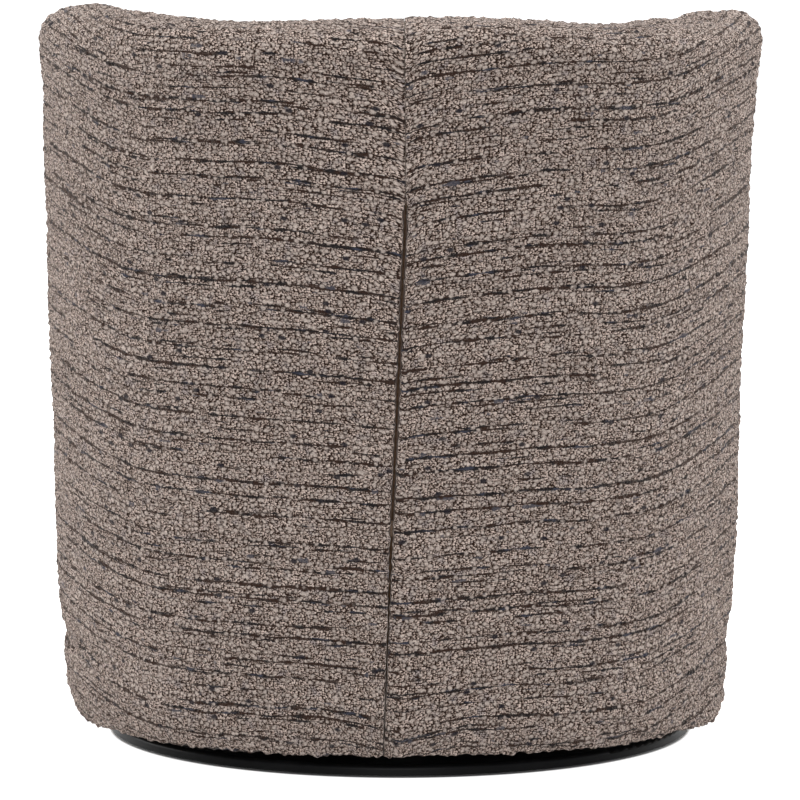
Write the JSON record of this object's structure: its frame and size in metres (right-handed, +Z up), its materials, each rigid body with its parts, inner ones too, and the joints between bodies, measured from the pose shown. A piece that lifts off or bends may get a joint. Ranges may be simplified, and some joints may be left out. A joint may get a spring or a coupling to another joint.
{
  "type": "swivel glider chair",
  "caption": "Barrel-back upholstered chair on a round base that swivels and glides on hanging links, with a loose seat cushion and a zip in the back seam.",
  "frame": {"origin": "on the floor at the swivel axis, under the middle of the chair", "axes": "+Z up along the swivel axis, +Y out of the back, +X to the left of a person who sits in the chair"},
  "size_m": [0.738, 0.722, 0.758],
  "materials": {
    "black_metal": "satin black powder coat",
    "black_plastic": "matte",
    "zinc_steel": "bright zinc",
    "dark_steel": "dark zinc",
    "bright_steel": "polished",
    "nylon": "moulded",
    "rubber": "moulded",
    "hardwood": "sawn, unfinished",
    "plywood": "plywood, unfinished",
    "fibreboard": "hard fibreboard",
    "webbing": "woven elastic webbing",
    "foam": "polyurethane foam and wadding",
    "black_cloth": "non-woven cloth",
    "boucle": "taupe boucle tweed with dark slubs",
    "zip_cloth": "woven zip tape",
    "zip_plastic": "moulded coil",
    "zip_metal": "dark brown enamel"
  },
  "bodies": {
    "base": {"base_disc": "black_metal", "floor_glides": "black_plastic", "swivel_lower_plate": "zinc_steel", "swivel_lower_bolts": "dark_steel", "bearing_balls": "bright_steel", "ball_cage": "nylon", "swivel_pin": "zinc_steel", "swivel_pin_nut": "zinc_steel"},
    "swivel_carrier": {"swivel_upper_plate": "zinc_steel", "carrier_tubes": "black_metal", "carrier_bolts": "dark_steel", "bracket_left": "black_metal", "bracket_right": "black_metal", "upper_pivot_pins": "zinc_steel", "glide_bumpers": "rubber"},
    "front_link_pair": {"front_links": "black_metal", "front_link_bushes": "nylon"},
    "rear_link_pair": {"rear_links": "black_metal", "rear_link_bushes": "nylon"},
    "seat": {"glide_rail_left": "black_metal", "glide_rail_right": "black_metal", "lower_pivot_pins": "zinc_steel", "rail_bolts": "zinc_steel", "side_rail_left": "hardwood", "side_rail_right": "hardwood", "front_rail": "hardwood", "back_rail": "hardwood", "bottom_board": "plywood", "seat_board": "plywood", "arm_post_left": "hardwood", "arm_post_right": "hardwood", "side_post_left": "hardwood", "side_post_right": "hardwood", "back_post_left": "hardwood", "back_post_right": "hardwood", "top_rail": "plywood", "arm_rail_left": "hardwood", "arm_rail_right": "hardwood", "webbing_straps": "webbing", "outside_liner": "fibreboard", "outside_padding_left": "foam", "outside_padding_right": "foam", "rim_foam": "foam", "inside_foam": "foam", "arm_front_pads": "foam", "deck_pad": "foam", "front_band_foam": "foam", "dust_cover": "black_cloth", "outside_cover_left": "boucle", "outside_cover_right": "boucle", "inside_cover": "boucle", "arm_front_left": "boucle", "arm_front_right": "boucle", "front_band": "boucle", "seat_cushion": "boucle", "zip_tapes": "zip_cloth", "zip_coils": "zip_plastic", "zip_stops": "zip_metal"},
    "zip_slider": {"zip_slider": "zip_metal"}
  },
  "joints": [
    {"name": "swivel", "type": "hinge", "parent": "base", "child": "swivel_carrier", "pos_m": [0, 0, 0.019], "axis": [0, 0, 1], "continuous": true},
    {"name": "glide", "type": "hinge", "parent": "swivel_carrier", "child": "front_link_pair", "pos_m": [0, -0.085, 0.21], "axis": [1, 0, 0], "range_deg": [-24, 24]},
    {"name": "glide_rear", "type": "hinge", "parent": "swivel_carrier", "child": "rear_link_pair", "pos_m": [0, 0.085, 0.21], "axis": [1, 0, 0], "range_deg": [-24, 24]},
    {"name": "glide_seat", "type": "hinge", "parent": "front_link_pair", "child": "seat", "pos_m": [0, -0.085, 0.08], "axis": [1, 0, 0], "range_deg": [-24, 24]},
    {"name": "zip_slide", "type": "slide", "parent": "seat", "child": "zip_slider", "axis": [-0.0433, 0.0519, 0.9977], "range_m": [0, 0.3136]}
  ],
  "couplings": [
    {"joint": "glide_rear", "follows": "glide", "ratio": 1},
    {"joint": "glide_seat", "follows": "glide", "ratio": -1}
  ]
}
